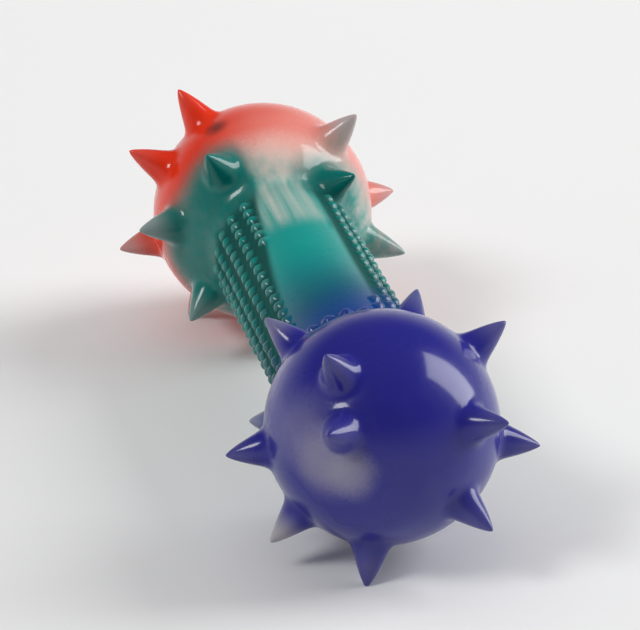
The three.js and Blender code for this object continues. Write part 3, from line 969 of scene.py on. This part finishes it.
class DOGTOY_OT_squeaker_rim(bpy.types.Operator):
    """Makes the soft rim of latex that grips the squeaker."""

    bl_idname = "dogtoy.squeaker_rim"
    bl_label = "Squeaker Rim"

    def execute(self, context):
        sizes = toy().skin
        ball_x = -sizes.ball_spacing / 2
        inner_ball = sizes.ball_radius - sizes.wall
        land_angle = math.pi - math.asin(sizes.land_radius / sizes.ball_radius)
        rim_angle = math.pi - math.asin(sizes.rim_radius / sizes.ball_radius)
        land_x = rim_x(sizes.land_radius)
        inner_land_x = land_x + sizes.wall
        inner_land_angle = math.acos((inner_land_x - ball_x) / inner_ball)
        edge_rounding = sizes.wall / 6
        profile = [(land_x, sizes.hole_radius + edge_rounding)]
        profile += arc(ball_x, 0, sizes.ball_radius, land_angle, rim_angle, RIM_STATIONS)
        profile += arc(ball_x, 0, inner_ball, rim_angle, inner_land_angle, RIM_STATIONS // 2)
        profile.append((inner_land_x, sizes.hole_radius))
        profile.append((land_x + edge_rounding, sizes.hole_radius))
        rim = revolved("squeaker_rim", profile, sizes.segments, sprayed_latex, closed=True)
        still = (rim_x(sizes.rim_radius), 0, AXIS_HEIGHT)
        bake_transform(rim)
        return {"FINISHED"}


class DOGTOY_OT_squeaker_plug(bpy.types.Operator):
    """Makes the round plug whose face shows, with its ring groove and sound hole."""

    bl_idname = "dogtoy.squeaker_plug"
    bl_label = "Squeaker Plug"

    def execute(self, context):
        sizes = toy().plug
        face = PLUG_LOW.x
        flange = (PLUG_HIGH.y - PLUG_LOW.y) / 2
        back = face + sizes.flange_thickness
        waist = toy().skin.hole_radius - sizes.fit_gap
        rear = back + toy().skin.wall + 2 * sizes.fit_gap
        rear_end = rear + sizes.rear_flange_thickness
        bore = sizes.tube_radius + sizes.fit_gap
        round_off = sizes.edge_rounding
        groove_in = sizes.groove_radius - sizes.groove_width
        floor = face + sizes.groove_depth
        soft = round_off / 3
        profile = [(face + soft, sizes.sound_hole_radius), (face, sizes.sound_hole_radius + soft)]
        profile += [(face, groove_in - soft), (face + soft, groove_in), (floor, groove_in)]
        profile += [(floor, sizes.groove_radius), (face + soft, sizes.groove_radius)]
        profile += [(face, sizes.groove_radius + soft)]
        corner = (face + round_off, flange - round_off)
        profile += arc(*corner, round_off, math.pi, math.pi / 2, EDGE_STATIONS)
        profile += [(back, flange), (back, waist), (rear, waist), (rear, sizes.rear_flange_radius)]
        profile += [(rear_end, sizes.rear_flange_radius - round_off), (rear_end, bore + sizes.boss_wall)]
        profile += [(PLUG_HIGH.x, bore + sizes.boss_wall), (PLUG_HIGH.x, bore)]
        profile += [(face + sizes.face_wall, bore), (face + sizes.face_wall, sizes.sound_hole_radius)]
        plug = revolved("squeaker_plug_moulded", profile, sizes.segments, plug_plastic, closed=True)
        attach(plug, "squeaker")
        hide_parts("squeaker_plug")
        return {"FINISHED"}


class DOGTOY_OT_reed_unit(bpy.types.Operator):
    """Makes the reed tube and finishes the reed, its seat and its wedge."""

    bl_idname = "dogtoy.reed_unit"
    bl_label = "Reed Unit"

    def execute(self, context):
        sizes = toy().plug
        start, end = TUBE_LOW.x, TUBE_HIGH.x
        collar_end = end - sizes.collar_tail
        collar = collar_end - sizes.collar_length
        collar_radius = (TUBE_HIGH.y - TUBE_LOW.y) / 2
        bore = sizes.tube_radius - sizes.tube_wall
        soft = sizes.edge_rounding / 2
        profile = [(start, bore - sizes.tube_lip), (start, sizes.tube_radius - soft)]
        profile += [(start + soft, sizes.tube_radius), (collar, sizes.tube_radius)]
        profile += [(collar, collar_radius - soft), (collar + soft, collar_radius)]
        profile += [(collar_end - soft, collar_radius), (collar_end, collar_radius - soft)]
        profile += [(collar_end, sizes.tube_radius), (end - soft, sizes.tube_radius)]
        profile += [(end, sizes.tube_radius - soft), (end, bore)]
        profile += [(start + sizes.tube_lip, bore), (start + sizes.tube_lip, bore - sizes.tube_lip)]
        tube = revolved("reed_tube_moulded", profile, sizes.segments, reed_plastic, closed=True)
        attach(tube, "squeaker")
        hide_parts("reed_tube")
        recipes = {"reed_seat": reed_plastic, "reed_wedge": reed_plastic, "reed": reed_brass}
        for node, recipe in recipes.items():
            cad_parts[node].material_slots[0].material = shared_material(recipe)
        return {"FINISHED"}


def add_lamp(aim, name, direction, distance, size, power, mirrored):
    """A soft rectangular lamp that faces the toy and isn't seen itself."""
    lamp = bpy.data.lights.new(name, "AREA")
    lamp.shape = "RECTANGLE"
    lamp.size, lamp.size_y = size
    lamp.energy = power
    made = bpy.data.objects.new(name, lamp)
    bpy.context.scene.collection.objects.link(made)
    towards = Vector(direction).normalized()
    made.location = aim + towards * distance
    made.rotation_euler = towards.to_track_quat("Z", "Y").to_euler()
    made.visible_camera = False
    made.visible_glossy = mirrored


def studio_walls(name):
    """Pale walls that meet the floor at the horizon and darken upwards."""
    stage = toy().stage
    world = bpy.data.worlds.new(name)
    world.use_nodes = True
    sheet = Sheet(world.node_tree)
    _, _, upwards = sheet.split(sheet.wire("ShaderNodeTexCoord", output="Generated"))
    shade = sheet.mix(sheet.smooth(upwards, low=-0.05, high=0.55), stage.walls, stage.ceiling)
    sheet.feed(world.node_tree.nodes["Background"].inputs["Color"], shade)
    return world


class DOGTOY_OT_stage(bpy.types.Operator):
    """Sets up the floor, the soft lamps and the camera."""

    bl_idname = "dogtoy.stage"
    bl_label = "Stage"

    def execute(self, context):
        stage = toy().stage
        scene = context.scene
        half = stage.floor_size / 2
        mesh = bpy.data.meshes.new("floor")
        corners = [(-half, -half), (half, -half), (half, half), (-half, half)]
        mesh.from_pydata([(x, y, -FLOOR_DROP) for x, y in corners], [], [(0, 1, 2, 3)])
        add_object("floor", mesh, pale_floor)

        aim = Vector((0, 0, AXIS_HEIGHT))
        for lamp in LAMPS:
            add_lamp(aim, *lamp)
        scene.world = studio_walls("studio_walls")
        scene.view_settings.view_transform = "Standard"

        camera = bpy.data.cameras.new("camera")
        camera.sensor_width = SENSOR_WIDTH
        camera.lens = SENSOR_WIDTH * stage.distance / stage.field
        made = bpy.data.objects.new("camera", camera)
        scene.collection.objects.link(made)
        back = Vector((
            math.sin(stage.azimuth) * math.cos(stage.elevation),
            -math.cos(stage.azimuth) * math.cos(stage.elevation),
            math.sin(stage.elevation),
        ))
        made.location = aim + back * stage.distance
        made.rotation_euler = back.to_track_quat("Z", "Y").to_euler()
        camera.clip_end = VIEW_DEPTH
        scene.camera = made
        return {"FINISHED"}


OPERATORS = (
    DOGTOY_OT_latex_body,
    DOGTOY_OT_spikes,
    DOGTOY_OT_nubs,
    DOGTOY_OT_squeaker_rim,
    DOGTOY_OT_squeaker_plug,
    DOGTOY_OT_reed_unit,
    DOGTOY_OT_stage,
)


class DOGTOY_PT_panel(bpy.types.Panel):
    """Lists the toy's pieces and their sizes."""

    bl_idname = "DOGTOY_PT_panel"
    bl_label = "Dog Toy"
    bl_space_type = "VIEW_3D"
    bl_region_type = "UI"
    bl_category = "Dog Toy"

    def draw(self, context):
        for operator in OPERATORS:
            self.layout.operator(operator.bl_idname)
        for group in ("skin", "spikes", "nubs", "plug", "colours", "stage"):
            box = self.layout.box()
            values = getattr(context.scene.dog_toy, group)
            for name in values.__annotations__:
                box.prop(values, name)


CLASSES = (SkinSizes, SpikeSizes, NubSizes, PlugSizes, ToyColours, StageSettings, ToySettings, *OPERATORS,
           DOGTOY_PT_panel)


def register():
    for each in CLASSES:
        bpy.utils.register_class(each)
    bpy.types.Scene.dog_toy = PointerProperty(
        type=ToySettings, name="Dog toy", description="The toy's settings",
    )


def unregister():
    del bpy.types.Scene.dog_toy
    for each in reversed(CLASSES):
        bpy.utils.unregister_class(each)


def main():
    register()
    bpy.ops.dogtoy.latex_body()
    bpy.ops.dogtoy.spikes()
    bpy.ops.dogtoy.nubs()
    bpy.ops.dogtoy.squeaker_rim()
    bpy.ops.dogtoy.squeaker_plug()
    bpy.ops.dogtoy.reed_unit()
    bpy.ops.dogtoy.stage()


if __name__ == "__main__":
    main()
